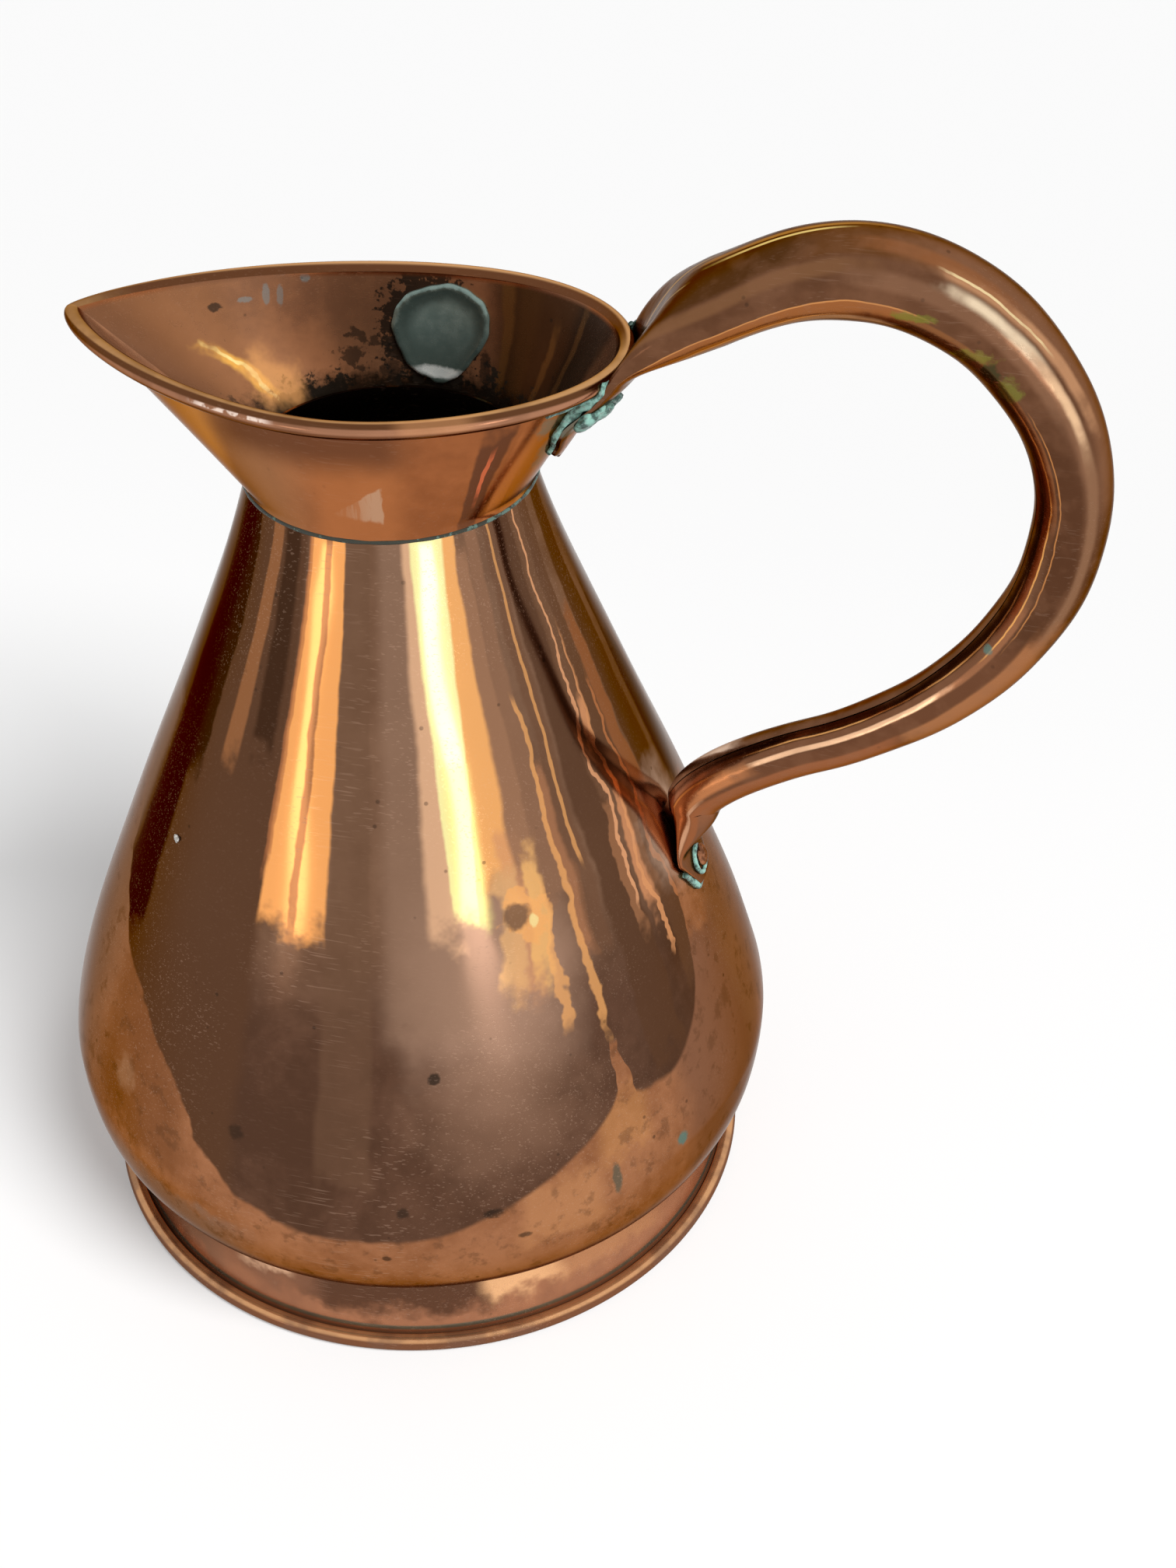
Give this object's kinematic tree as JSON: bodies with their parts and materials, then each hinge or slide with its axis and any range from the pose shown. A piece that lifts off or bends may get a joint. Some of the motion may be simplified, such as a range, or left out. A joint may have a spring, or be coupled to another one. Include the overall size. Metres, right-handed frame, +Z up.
{
  "type": "copper jug",
  "caption": "Pear-shaped sheet-copper harvest jug with a flared foot band, a collar drawn out to a pouring lip and a hollow loop handle with a riveted lower plate.",
  "frame": {"origin": "middle of the jug's outer box on the floor; the jug's own round axis stands 46.2 mm from it towards the lip", "axes": "+Z up out of the mouth; +X from the lip towards the handle; +Y sideways, so that the handle's plane is Y = 0"},
  "size_m": [0.3514, 0.259, 0.386],
  "materials": {
    "polished_copper": "worn polished copper",
    "handled_copper": "satin copper, worn by hands",
    "dull_copper": "dull unpolished copper",
    "iron_wire": "dull iron wire",
    "aged_solder": "solder, green with age",
    "lead": "dull lead"
  },
  "bodies": {
    "root": {"body_shell": "polished_copper", "bottom_plate": "dull_copper", "base_solder": "aged_solder", "foot_band": "polished_copper", "foot_wire": "iron_wire", "foot_solder": "aged_solder", "collar": "polished_copper", "rim_wire": "iron_wire", "neck_solder": "aged_solder", "handle": "handled_copper", "handle_top_solder": "aged_solder", "handle_foot_solder": "aged_solder", "handle_rivet": "handled_copper", "rivet_rove": "dull_copper", "capacity_seal": "lead"}
  },
  "joints": []
}
